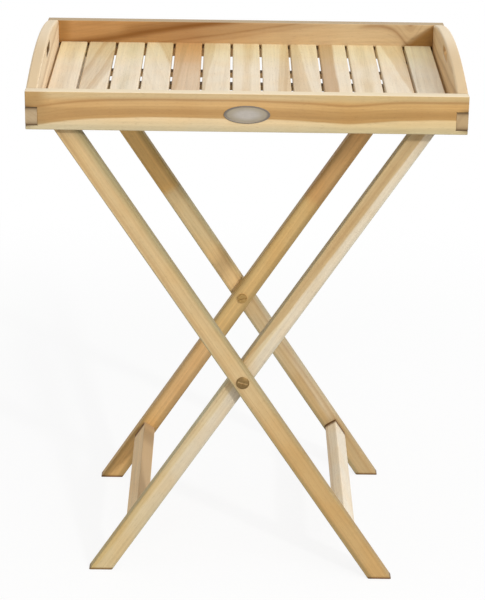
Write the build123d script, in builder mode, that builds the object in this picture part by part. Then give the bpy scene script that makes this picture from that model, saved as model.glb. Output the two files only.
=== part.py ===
from build123d import *
from math import cos, radians, sin
import os

# Folding tray table in teak: a lift-off slatted tray on a cross-legged stand, in millimetres
# The origin is on the floor under the middle of the tray, +X to the right, +Y to the rear, +Z up

# Tray
tray_length = 600.0
tray_depth = 400.0
rim_height = 750.0
board_thickness = 16.0
rail_height = 54.0
arris_radius = 1.5

# Corner finger joint, measured from the rim down
rail_finger = 23.0
panel_finger = 24.0

# End panels
arch_rise = 21.0
hand_hole_length = 60.0
hand_hole_height = 14.0
hand_hole_above_rim = 5.0
hand_hole_chamfer = 1.5
arch_edge_radius = 3.0

# Deck
deck_drop = 33.0
slat_count = 13
slat_width = 40.0
slat_thickness = 10.0
tongue_length = 6.0
tongue_thickness = 6.0
slat_edge_radius = 2.0

# Strips under the deck
batten_width = 16.0
batten_thickness = 8.0
batten_spacing = 65.0
batten_length = 452.0
ledger_width = 9.0
strip_edge_radius = 1.0

# Badge plate
badge_length = 63.0
badge_height = 25.0
badge_drop = 29.0
badge_thickness = 1.2
badge_rim_width = 1.8
badge_rim_depth = 0.4

# Stand
leg_angle = 56.7
leg_width = 29.0
leg_thickness = 18.0
leg_edge_radius = 2.0
stand_depth = 364.0
pivot_height = 316.0
frame_gap = 1.0
bar_thickness = 20.0
bar_depth = 30.0
bar_edge_radius = 1.5
stretcher_height = 82.0
tenon_length = 12.0
tenon_thickness = 10.0
tenon_width = 20.0

# Pivot hardware
bolt_radius = 3.0
bolt_hole_radius = 3.2
bolt_head_radius = 9.5
bolt_head_height = 2.8
bolt_bevel_height = 1.6
bolt_bevel_width = 2.2
slot_width = 2.2
slot_depth = 1.2
slot_tilt = -15.0
sleeve_radius = 4.5
running_clearance = 0.05
side_play = 0.2
flange_radius = 7.5
flange_height = 2.5
washer_radius = 8.0
bolt_end_gap = 3.0

# Levels and inner faces that follow from these
skirt_level = rim_height - rail_height
deck_level = rim_height - deck_drop
deck_underside = deck_level - slat_thickness
inner_length = tray_length - 2 * board_thickness
inner_depth = tray_depth - 2 * board_thickness
slat_gap = (inner_length - slat_count * slat_width) / (slat_count + 1)
slat_pitch = slat_width + slat_gap
slat_places = [(i - (slat_count - 1) / 2) * slat_pitch for i in range(slat_count)]
batten_places = {"front": -batten_spacing, "middle": 0.0, "rear": batten_spacing}

leg_sin = sin(radians(leg_angle))
leg_cos = cos(radians(leg_angle))
outer_face = stand_depth / 2
outer_inner_face = outer_face - leg_thickness
inner_face = outer_inner_face - frame_gap
inner_inner_face = inner_face - leg_thickness
washer_thickness = frame_gap - side_play

os.makedirs("parts", exist_ok=True)


def save(builder, name):
    """Labels a finished piece and writes it to its own file."""
    builder.part.label = name
    export_step(builder.part, f"parts/{name}.step")


def make_rail(name, inside, outside):
    """A long tray board, from its grooved inside face to its outside face."""
    middle = (inside + outside) / 2
    with BuildPart() as rail:
        with BuildSketch(Plane.XZ.offset(-middle)):
            with Locations((0, skirt_level + rail_height / 2)):
                Rectangle(tray_length, rail_height)
            with Locations((0, rim_height - rail_finger - panel_finger / 2)):
                with GridLocations(tray_length - board_thickness, 0, 2, 1):
                    Rectangle(board_thickness, panel_finger, mode=Mode.SUBTRACT)
        extrude(amount=board_thickness / 2, both=True)
        with BuildSketch(Plane.XZ.offset(-inside)):
            with Locations((0, deck_level - slat_thickness / 2)):
                Rectangle(inner_length, tongue_thickness)
        extrude(amount=tongue_length, both=True, mode=Mode.SUBTRACT)
        fillet(rail.edges().filter_by(Axis.X).group_by(Axis.Z)[-1], arris_radius)
        outer_low = rail.edges().filter_by(Axis.X).group_by(Axis.Z)[0].sort_by(Axis.Y)
        fillet(outer_low[-1] if outside > inside else outer_low[0], arris_radius)
    save(rail, name)


def make_end_panel(name, side):
    """A short tray board with corner fingers, an arched top and a hand-hole."""
    half = inner_depth / 2
    finger_top = rim_height - rail_finger
    finger_low = finger_top - panel_finger
    with BuildPart() as panel:
        with BuildSketch(Plane.YZ.offset(side * (tray_length - board_thickness) / 2)):
            with BuildLine():
                ThreePointArc((-half, rim_height), (0, rim_height + arch_rise), (half, rim_height))
                Polyline(
                    (half, rim_height),
                    (half, finger_top),
                    (tray_depth / 2, finger_top),
                    (tray_depth / 2, finger_low),
                    (half, finger_low),
                    (half, skirt_level),
                    (-half, skirt_level),
                    (-half, finger_low),
                    (-tray_depth / 2, finger_low),
                    (-tray_depth / 2, finger_top),
                    (-half, finger_top),
                    (-half, rim_height),
                )
            make_face()
            with Locations((0, rim_height + hand_hole_above_rim)):
                SlotOverall(hand_hole_length, hand_hole_height, mode=Mode.SUBTRACT)
        extrude(amount=board_thickness / 2, both=True)
        arch = panel.edges().filter_by(GeomType.CIRCLE).group_by(SortBy.LENGTH)[-1]
        hole = panel.edges().filter_by_position(
            Axis.Z,
            rim_height + hand_hole_above_rim - hand_hole_height,
            rim_height + hand_hole_above_rim + hand_hole_height / 2,
        )
        hole = hole.filter_by(lambda e: abs(e.center().Y) < hand_hole_length)
        fillet(arch, arch_edge_radius)
        chamfer(hole.filter_by(Axis.X, reverse=True), hand_hole_chamfer)
    save(panel, name)


def make_slat(name, x):
    """A deck slat with rounded upper edges and a tongue at each end for the grooves in the rails."""
    with BuildPart() as slat:
        with BuildSketch(Plane.XZ):
            with Locations((x, deck_level - slat_thickness / 2)):
                Rectangle(slat_width, slat_thickness)
        extrude(amount=inner_depth / 2, both=True)
        top = slat.edges().filter_by(Axis.Y).group_by(Axis.Z)[-1]
        fillet(top, slat_edge_radius)
        with BuildSketch(Plane.XZ):
            with Locations((x, deck_level - slat_thickness / 2)):
                Rectangle(slat_width, tongue_thickness)
        extrude(amount=inner_depth / 2 + tongue_length, both=True)
    save(slat, name)


def make_batten(name, y):
    """A thin strip across the underside of the slats."""
    with BuildPart() as batten:
        with BuildSketch(Plane.XY.offset(deck_underside)):
            with Locations((0, y)):
                Rectangle(batten_length, batten_width)
        extrude(amount=-batten_thickness)
        fillet(batten.edges().filter_by(Axis.X).group_by(Axis.Z)[0], strip_edge_radius)
    save(batten, name)


def make_ledger(name, side):
    """A strip along the foot of an end panel, under the outermost slat."""
    with BuildPart() as ledger:
        with BuildSketch(Plane.XZ):
            with Locations((side * (inner_length - ledger_width) / 2, (skirt_level + deck_underside) / 2)):
                Rectangle(ledger_width, deck_underside - skirt_level)
        extrude(amount=inner_depth / 2, both=True)
        low = ledger.edges().filter_by(Axis.Y).group_by(Axis.Z)[0]
        fillet(low.sort_by(lambda e: abs(e.center().X))[0], strip_edge_radius)
    save(ledger, name)


make_rail("front_rail", -inner_depth / 2, -tray_depth / 2)
make_rail("rear_rail", inner_depth / 2, tray_depth / 2)
make_end_panel("left_end_panel", -1)
make_end_panel("right_end_panel", 1)
for number, place in enumerate(slat_places, start=1):
    make_slat(f"slat_{number:02d}", place)
for where, place in batten_places.items():
    make_batten(f"{where}_batten", place)
make_ledger("left_ledger", -1)
make_ledger("right_ledger", 1)

# A plain oval plate with a raised rim, on the face of the front rail
with BuildPart() as badge_plate:
    with BuildSketch(Plane.XZ.offset(tray_depth / 2)):
        with Locations((0, rim_height - badge_drop)):
            Ellipse(badge_length / 2, badge_height / 2)
    extrude(amount=badge_thickness)
    with BuildSketch(Plane.XZ.offset(tray_depth / 2 + badge_thickness)):
        with Locations((0, rim_height - badge_drop)):
            Ellipse(badge_length / 2 - badge_rim_width, badge_height / 2 - badge_rim_width)
    extrude(amount=-badge_rim_depth, mode=Mode.SUBTRACT)
save(badge_plate, "badge_plate")


def leg_plane(lean, y):
    """The plane of a leg at depth y: origin on the pivot, local x up the leg, local y to its upper side.

    A lean of 1 is towards +X at the top, and -1 towards -X.
    """
    return Plane(
        origin=(0, y, pivot_height),
        x_dir=(lean * leg_cos, 0, leg_sin),
        z_dir=(0, -lean, 0),
    )


def along(level, across=0.0):
    """How far up the leg from the pivot a line parallel to the leg reaches a level above the floor."""
    return (level - pivot_height - across * leg_cos) / leg_sin


stretcher_place = along(stretcher_height)
top_tenon_place = along(deck_underside) - bar_depth / 2


def make_leg(name, lean, outside, inside, hole_radius):
    """A leg between two faces, cut level at both ends, with a pivot hole and two blind mortises."""
    half = leg_width / 2
    with BuildPart() as leg:
        with BuildSketch(leg_plane(lean, (outside + inside) / 2)):
            with BuildLine():
                Polyline(
                    (along(0, -half), -half),
                    (along(0, half), half),
                    (along(deck_underside, half), half),
                    (along(deck_underside, -half), -half),
                    close=True,
                )
            make_face()
        extrude(amount=leg_thickness / 2, both=True)
        fillet(leg.edges().sort_by(SortBy.LENGTH)[-4:], leg_edge_radius)
        with BuildSketch(leg_plane(lean, inside)):
            with Locations((stretcher_place, 0), (top_tenon_place, 0)):
                Rectangle(tenon_width, tenon_thickness)
        extrude(amount=tenon_length, both=True, mode=Mode.SUBTRACT)
        with Locations(leg_plane(lean, inside)):
            Hole(hole_radius)
    save(leg, name)


def make_bar(name, lean, half_length, outline, tenon_place):
    """A cross bar between the legs of a frame, from its outline in the leg plane, tenoned at both ends."""
    with BuildPart() as bar:
        with BuildSketch(leg_plane(lean, 0)):
            with BuildLine():
                Polyline(*outline, close=True)
            make_face()
        extrude(amount=half_length, both=True)
        fillet(bar.edges().filter_by(Axis.Y), bar_edge_radius)
        for end in (-half_length, half_length):
            with BuildSketch(leg_plane(lean, end)):
                with Locations((tenon_place, 0)):
                    Rectangle(tenon_width, tenon_thickness)
            extrude(amount=tenon_length, both=True)
    save(bar, name)


def bar_outline(low, high_upper, high_lower):
    """The corners of a bar's section: a square low end, and a high end given for each of its two sides."""
    half = bar_thickness / 2
    return [(low, -half), (low, half), (high_upper, half), (high_lower, -half)]


def pivot_plane(side, depth):
    """A plane square to the pivot axis, depth inward from the outer leg's outside face, facing outward."""
    return Plane(
        origin=(0, side * (outer_face - depth), pivot_height),
        x_dir=(side, 0, 0),
        z_dir=(0, side, 0),
    )


def make_pivot(where, side):
    """One pivot: a slotted bolt through the outer leg, a washer, and the sleeve the inner leg turns on."""
    axis = Axis((0, 0, pivot_height), (0, 1, 0))
    section = Plane(
        origin=(0, side * outer_face, pivot_height), x_dir=(1, 0, 0), z_dir=(0, 0, side)
    )
    washer_end = leg_thickness + washer_thickness
    flange_start = 2 * leg_thickness + frame_gap + side_play
    flange_end = flange_start + flange_height
    bolt_end = flange_start - bolt_end_gap

    with BuildPart() as bolt:
        with BuildSketch(section):
            with BuildLine():
                Polyline(
                    (0, bolt_head_height),
                    (bolt_head_radius - bolt_bevel_width, bolt_head_height),
                    (bolt_head_radius, bolt_head_height - bolt_bevel_height),
                    (bolt_head_radius, 0),
                    (bolt_radius, 0),
                    (bolt_radius, -bolt_end),
                    (0, -bolt_end),
                    close=True,
                )
            make_face()
        revolve(axis=axis)
        with BuildSketch(pivot_plane(side, -bolt_head_height)):
            Rectangle(3 * bolt_head_radius, slot_width, rotation=slot_tilt)
        extrude(amount=-slot_depth, mode=Mode.SUBTRACT)
    save(bolt, f"{where}_pivot_bolt")

    with BuildPart() as washer:
        with BuildSketch(pivot_plane(side, washer_end)):
            Circle(washer_radius)
            Circle(bolt_hole_radius, mode=Mode.SUBTRACT)
        extrude(amount=washer_thickness)
    save(washer, f"{where}_pivot_washer")

    with BuildPart() as nut:
        with BuildSketch(section):
            with BuildLine():
                Polyline(
                    (bolt_radius, -washer_end),
                    (sleeve_radius, -washer_end),
                    (sleeve_radius, -flange_start),
                    (flange_radius, -flange_start),
                    (flange_radius, -flange_end),
                    (0, -flange_end),
                    (0, -flange_start),
                    (bolt_radius, -flange_start),
                    close=True,
                )
            make_face()
        revolve(axis=axis)
        with BuildSketch(pivot_plane(side, flange_end)):
            Rectangle(3 * flange_radius, slot_width, rotation=slot_tilt)
        extrude(amount=slot_depth, mode=Mode.SUBTRACT)
    save(nut, f"{where}_sleeve_nut")


# The top rails are bevelled level on top, so that the deck lies flat on them
stretcher_outline = bar_outline(
    stretcher_place - bar_depth / 2, stretcher_place + bar_depth / 2, stretcher_place + bar_depth / 2
)
top_rail_outline = bar_outline(
    along(deck_underside) - bar_depth,
    along(deck_underside, bar_thickness / 2),
    along(deck_underside, -bar_thickness / 2),
)
for where, side in (("front", -1), ("rear", 1)):
    make_leg(f"outer_{where}_leg", -1, side * outer_face, side * outer_inner_face, bolt_hole_radius)
    make_leg(
        f"inner_{where}_leg",
        1,
        side * inner_face,
        side * inner_inner_face,
        sleeve_radius + running_clearance,
    )
    make_pivot(where, side)
for frame, lean, half_length in (("outer", -1, outer_inner_face), ("inner", 1, inner_inner_face)):
    make_bar(f"{frame}_top_rail", lean, half_length, top_rail_outline, top_tenon_place)
    make_bar(f"{frame}_stretcher", lean, half_length, stretcher_outline, stretcher_place)
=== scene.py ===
"""Dresses the teak tray table: tray boards, slatted deck, folding stand, pivots and plate, in a pale studio.

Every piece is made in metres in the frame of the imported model, and rides on one of that model's bodies.
"""

from __future__ import annotations

import logging
from collections.abc import Callable
from dataclasses import dataclass, replace
from enum import Enum
from math import cos, pi, radians, sin, sqrt

import bmesh
import bpy
from mathutils import Euler, Matrix, Vector

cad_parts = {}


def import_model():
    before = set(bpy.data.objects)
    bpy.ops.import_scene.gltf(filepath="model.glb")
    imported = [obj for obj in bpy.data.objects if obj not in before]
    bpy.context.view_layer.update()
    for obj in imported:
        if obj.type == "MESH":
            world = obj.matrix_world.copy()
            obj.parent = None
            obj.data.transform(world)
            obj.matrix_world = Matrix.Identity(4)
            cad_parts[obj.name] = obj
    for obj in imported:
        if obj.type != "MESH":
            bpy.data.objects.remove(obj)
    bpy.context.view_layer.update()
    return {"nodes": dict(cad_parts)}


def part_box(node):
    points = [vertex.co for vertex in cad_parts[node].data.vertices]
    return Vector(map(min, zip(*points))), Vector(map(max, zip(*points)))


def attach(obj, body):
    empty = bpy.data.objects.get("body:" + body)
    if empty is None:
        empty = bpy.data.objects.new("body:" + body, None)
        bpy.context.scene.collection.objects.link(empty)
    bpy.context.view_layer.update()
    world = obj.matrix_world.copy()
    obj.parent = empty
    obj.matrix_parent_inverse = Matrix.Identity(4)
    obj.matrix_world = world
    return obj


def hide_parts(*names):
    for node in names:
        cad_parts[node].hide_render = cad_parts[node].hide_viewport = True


LOG = logging.getLogger("tray_table")

Colour = tuple[float, float, float]
Point = tuple[float, float, float]
Range = tuple[float, float]
Material = bpy.types.Material
Object = bpy.types.Object
Socket = bpy.types.NodeSocket

WHITE = (1.0, 1.0, 1.0, 1.0)
MERGE_DISTANCE = 0.00001
FLAT_ANGLE = 1.0
SHARP_ANGLE = 28.0
EASING_STEPS = 2


def paint(colour: Colour) -> tuple[float, float, float, float]:
    """Turns a display colour into the linear colour that a shader takes.

    Args:
        colour: Red, green and blue, each from 0 to 255.

    Returns:
        The linear colour, opaque.
    """
    shares = [channel / 255 for channel in colour]
    linear = [share / 12.92 if share < 0.04045 else ((share + 0.055) / 1.055) ** 2.4 for share in shares]
    return (linear[0], linear[1], linear[2], 1.0)


def arithmetic(operation: str, mirrored: bool = False) -> Callable[[Wire, Wire | float], Wire]:
    """Makes one of a wire's operators.

    Args:
        operation: The operation of the Math node that it adds.
        mirrored: Whether the wire stands on the operator's right.

    Returns:
        The operator.
    """

    def apply(wire: Wire, other: Wire | float) -> Wire:
        """Adds the Math node."""
        return wire.bench.maths(operation, *((other, wire) if mirrored else (wire, other)))

    return apply


class Wire:
    """A number that runs through a node tree; arithmetic on it adds Math nodes."""

    __add__, __radd__ = arithmetic("ADD"), arithmetic("ADD", True)
    __sub__, __rsub__ = arithmetic("SUBTRACT"), arithmetic("SUBTRACT", True)
    __mul__, __rmul__ = arithmetic("MULTIPLY"), arithmetic("MULTIPLY", True)
    __truediv__, __rtruediv__ = arithmetic("DIVIDE"), arithmetic("DIVIDE", True)
    __pow__, __rpow__ = arithmetic("POWER"), arithmetic("POWER", True)

    def __init__(self, bench: Bench, socket: Socket) -> None:
        """Keeps the bench and the socket that carries the number."""
        self.bench = bench
        self.socket = socket

    def __abs__(self) -> Wire:
        """Drops the number's sign."""
        return self.bench.maths("ABSOLUTE", self)

    def rise(self, low: Wire | float, high: Wire | float) -> Wire:
        """Climbs smoothly from 0 to 1 as the number goes from low to high."""
        sockets = {"Value": self, "From Min": low, "From Max": high}
        return self.bench.number("ShaderNodeMapRange", {"interpolation_type": "SMOOTHSTEP"}, sockets)

    def swing(self, amount: float) -> Wire:
        """Spreads a noise over an amount, half of it below zero."""
        return (self - 0.5) * amount

    def hump(self, middle: float, width: float, height: Wire | float) -> Wire:
        """Gives a hump of a height round a middle, half as high a width away."""
        return height / (1 + ((self - middle) / width) ** 2)

    def ripple(self, layers: float = 1.0) -> Wire:
        """Gives a noise that changes along the number."""
        sockets = {"W": self, "Scale": 1.0, "Detail": layers}
        return self.bench.number("ShaderNodeTexNoise", {"noise_dimensions": "1D"}, sockets)

    def diagonal(self, other: Wire) -> Wire:
        """Gives the length of the diagonal over this number and another as sides."""
        return (self * self + other * other) ** 0.5


class Bench:
    """A node tree that is being wired, for shaders and for geometry alike."""

    def __init__(self, tree: bpy.types.NodeTree) -> None:
        """Keeps the tree and empties it."""
        self.tree = tree
        self.tree.nodes.clear()

    def node(self, kind: str, settings: dict | None = None, sockets: dict | None = None) -> bpy.types.Node:
        """Adds a node to the tree.

        Args:
            kind: The type name of the node.
            settings: Properties of the node, which are set first.
            sockets: Values or links of its inputs, by name or by number.

        Returns:
            The new node.
        """
        node = self.tree.nodes.new(kind)
        for name, setting in (settings or {}).items():
            setattr(node, name, setting)
        for name, value in (sockets or {}).items():
            source = value.socket if isinstance(value, Wire) else value
            if isinstance(source, Socket):
                self.tree.links.new(source, node.inputs[name])
            else:
                node.inputs[name].default_value = source
        return node

    def out(self, kind: str, settings: dict | None = None, sockets: dict | None = None) -> Socket:
        """Adds a node and gives its first output."""
        return self.node(kind, settings, sockets).outputs[0]

    def number(self, kind: str, settings: dict | None = None, sockets: dict | None = None) -> Wire:
        """Adds a node and gives its first output as a wire."""
        return Wire(self, self.out(kind, settings, sockets))

    def maths(self, operation: str, *values: Wire | float) -> Wire:
        """Adds a Math node over numbers and wires."""
        return self.number("ShaderNodeMath", {"operation": operation}, dict(enumerate(values)))

    def blend(self, share: Wire | float, under: object, over: object, way: str = "MIX") -> Socket:
        """Mixes a share of an upper colour over a lower one, each a socket or a linear colour."""
        settings = {"data_type": "RGBA", "blend_type": way, "clamp_factor": True}
        return self.node("ShaderNodeMix", settings, {0: share, 6: under, 7: over}).outputs[2]

    def brighten(self, colour: Socket, factor: Wire) -> Socket:
        """Scales a colour by a wire."""
        return self.out("ShaderNodeVectorMath", {"operation": "SCALE"}, {0: colour, "Scale": factor})

    def triple(self, x: Wire | float, y: Wire | float, z: Wire | float) -> Socket:
        """Joins three numbers or wires into a vector."""
        return self.out("ShaderNodeCombineXYZ", {}, {"X": x, "Y": y, "Z": z})

    def split(self, vector: Socket) -> tuple[Wire, ...]:
        """Splits a vector into its three wires."""
        outputs = self.node("ShaderNodeSeparateXYZ", {}, {"Vector": vector}).outputs
        return tuple(Wire(self, output) for output in outputs)

    def place(self, kind: str = "Object") -> Socket:
        """Gives the Object or the Normal coordinates of a surface."""
        return self.node("ShaderNodeTexCoord").outputs[kind]

    def own_place(self, middle: Point, turn: Point | Euler = (0.0, 0.0, 0.0)) -> tuple[Wire, ...]:
        """Gives the place in a piece's own frame, which has a middle and a turn."""
        sockets = {"Vector": self.place(), "Location": middle, "Rotation": turn}
        return self.split(self.out("ShaderNodeMapping", {"vector_type": "TEXTURE"}, sockets))

    def noise(self, place: Socket, scale: float, layers: float, strength: float = 0.5) -> bpy.types.Node:
        """Adds a noise over a place; its first output is a number, its second a colour."""
        sockets = {"Vector": place, "Scale": scale, "Detail": layers, "Roughness": strength}
        return self.node("ShaderNodeTexNoise", {"noise_dimensions": "3D"}, sockets)

    def cloud(self, place: Socket, scale: float, layers: float = 2.0) -> Wire:
        """Adds a noise over a place and gives its number."""
        return Wire(self, self.noise(place, scale, layers).outputs[0])

    def relief(self, height: Wire, strength: float, distance: float) -> Socket:
        """Turns a height into the normal of a finely uneven surface."""
        sockets = {"Strength": strength, "Distance": distance, "Height": height}
        return self.out("ShaderNodeBump", {}, sockets)


def shader_bench(name: str) -> tuple[Material, Bench]:
    """Starts a material.

    Args:
        name: The finish's name.

    Returns:
        The material and the bench that wires it.
    """
    material = bpy.data.materials.new(name)
    material.use_nodes = True
    return material, Bench(material.node_tree)


class Finish:
    """A finish of wood, metal or glue; each kind wires its own sockets of the shader."""

    def sockets(self, bench: Bench) -> dict[str, object]:
        """Gives the values or links of the shader's sockets."""
        raise NotImplementedError

    def material(self, name: str) -> Material:
        """Makes the finish.

        Args:
            name: The finish's name.

        Returns:
            The material.
        """
        material, bench = shader_bench(name)
        shader = bench.out("ShaderNodeBsdfPrincipled", {}, self.sockets(bench))
        bench.node("ShaderNodeOutputMaterial", {}, {"Surface": shader})
        return material


class Grain(Enum):
    """The way the grain of a board runs, as the turn of the board's own frame."""

    ALONG_RAIL = (0.0, 0.0, 0.0)
    ALONG_SLAT = (0.0, 0.0, 90.0)
    DOWN_OUTER_LEG = (0.0, 56.7, 0.0)
    UP_INNER_LEG = (0.0, -56.7, 0.0)

    def turn(self) -> Euler:
        """Gives the turn in radians."""
        return Euler([radians(angle) for angle in self.value])

    def way(self) -> Vector:
        """Gives the direction of the grain in the model's frame."""
        return self.turn().to_matrix() @ Vector((1.0, 0.0, 0.0))


class Figure(Enum):
    """The figures of the wood, each a noise: its length and width, its layers and how strong they are."""

    SWAY = (0.16, 0.045, 1.5, 0.5)
    FIBRE = (0.07, 0.0016, 3.0, 0.6)
    GRAIN = (0.30, 0.0045, 2.0, 0.5)
    CLOUD = (0.055, 0.04, 1.0, 0.5)
    PORE = (0.009, 0.0005, 1.0, 0.5)


@dataclass(frozen=True)
class Bend:
    """A place where the grain swerves across the board."""

    at: float
    reach: float
    shift: float


@dataclass(frozen=True)
class Streak:
    """A darker line that follows one growth ring over a span of the board."""

    radius: float
    width: float
    depth: float
    span: Range = (-1.0, 1.0)
    fade: float = 0.03

    def share(self, along: Wire, radius: Wire) -> Wire:
        """Finds how dark the streak is.

        Args:
            along: The place along the grain.
            radius: The distance from the pith.

        Returns:
            The share of the streak's darkness.
        """
        start, end = self.span
        within = along.rise(start, start + self.fade) * (1 - along.rise(end - self.fade, end))
        return radius.hump(self.radius, self.width, within * self.depth)


class Mark:
    """Something that colours a part of a board."""

    colour: Colour

    def share(self, along: Wire, across: Wire) -> Wire:
        """Finds how much of the mark's colour shows at a place along and across the grain."""
        raise NotImplementedError


@dataclass(frozen=True)
class Drift(Mark):
    """A slow change of colour over a board, along its grain or at a slant to it, in degrees."""

    start: float
    end: float
    colour: Colour
    slant: float = 0.0

    def share(self, along: Wire, across: Wire) -> Wire:
        """Climbs from 0 to 1 over the drift."""
        turn = radians(self.slant)
        return (along * cos(turn) + across * sin(turn)).rise(self.start, self.end)


@dataclass(frozen=True)
class Seam(Mark):
    """A level line of a corner joint, where dust has darkened the wood towards the corner."""

    height: float
    start: float
    length: float
    width: float = 0.0026
    depth: float = 0.85
    colour: Colour = (92, 68, 38)

    def share(self, along: Wire, across: Wire) -> Wire:
        """Darkens along the line as the corner comes nearer."""
        reached = abs(along).rise(self.start, self.start + self.length)
        return across.hump(self.height, self.width, reached * self.depth)


@dataclass(frozen=True)
class HandHole(Mark):
    """A slot-shaped hand-hole whose inside is painted darker than the faces, as painted shade in the recess.
    """

    straight: float = 0.023
    radius: float = 0.007
    height: float = 0.022
    colour: Colour = (112, 86, 52)
    margin: float = 0.0002
    fade: float = 0.0010

    def share(self, along: Wire, across: Wire) -> Wire:
        """Finds the inside of the hole.

        Args:
            along: The place along the grain.
            across: The place across the grain.

        Returns:
            1 inside the hole and 0 on the rest of the board.
        """
        past = along.bench.maths("MAXIMUM", abs(along) - self.straight, 0.0)
        away = past.diagonal(across - self.height)
        wall = self.radius + self.margin
        return 1 - away.rise(wall, wall + self.fade)


@dataclass
class Lie:
    """How a point lies in the log that its board was sawn from, as wires or plain numbers."""

    along: Wire
    across: Wire
    deep: Wire
    pith_across: Wire | float
    pith_deep: Wire | float
    lean: Wire | float
    reach: Wire | float
    seed: Wire | float
    heart: object

    def noise(self, figure: Figure) -> bpy.types.Node:
        """Draws a figure of the wood out along the grain.

        Args:
            figure: The figure.

        Returns:
            The noise node; its first output is a number, its second a colour.
        """
        length, width, layers, strength = figure.value
        bench = self.along.bench
        place = bench.triple(self.along / length + self.seed, self.across / width, self.deep / width)
        return bench.noise(place, 1.0, layers, strength)

    def level(self, figure: Figure) -> Wire:
        """Gives a figure as one number."""
        return Wire(self.along.bench, self.noise(figure).outputs[0])

    def levels(self, figure: Figure) -> tuple[Wire, ...]:
        """Gives a figure as three numbers that vary on their own."""
        return self.along.bench.split(self.noise(figure).outputs[1])

    def lay(self, marks: tuple[Mark, ...], colour: object, way: str = "MIX") -> object:
        """Lays marks over a colour, one after another.

        Args:
            marks: The marks.
            colour: The colour under them, as a socket or a linear colour.
            way: The name of the blend.

        Returns:
            The colour with the marks.
        """
        for mark in marks:
            share = mark.share(self.along, self.across)
            colour = share.bench.blend(share, colour, paint(mark.colour), way)
        return colour


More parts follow.
